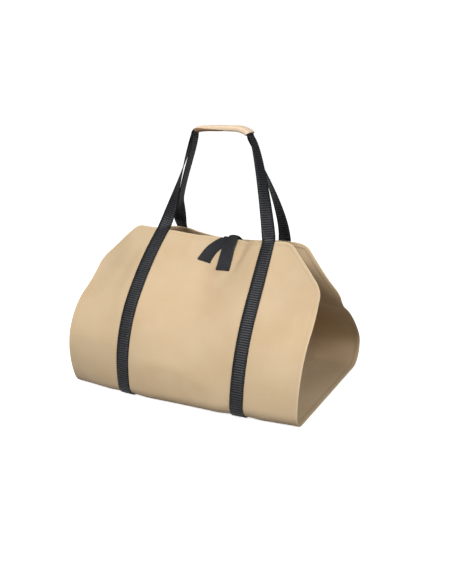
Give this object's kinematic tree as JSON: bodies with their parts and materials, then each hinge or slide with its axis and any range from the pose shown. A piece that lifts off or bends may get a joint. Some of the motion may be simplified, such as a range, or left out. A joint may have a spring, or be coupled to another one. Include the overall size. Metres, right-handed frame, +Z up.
{
  "type": "log carrier",
  "caption": "Canvas sling for carrying firewood, open at both ends, with webbing handles gathered in a canvas grip and a tape tie across the mouth.",
  "frame": {"origin": "middle of the footprint, on the floor", "axes": "+Z up, the front wall with the tie's tails faces -Y, the open ends face +X and -X"},
  "size_m": [0.45, 0.3667, 0.4767],
  "materials": {
    "canvas": "matt waxed canvas",
    "grip_canvas": "matt waxed canvas",
    "webbing": "ribbed woven webbing with a slight sheen",
    "tape": "flat woven tape"
  },
  "bodies": {
    "root": {"canvas_sling": "canvas", "front_webbing": "webbing", "back_webbing": "webbing", "grip_wrap": "grip_canvas", "tie_front_tape": "tape", "tie_back_tape": "tape"}
  },
  "joints": []
}
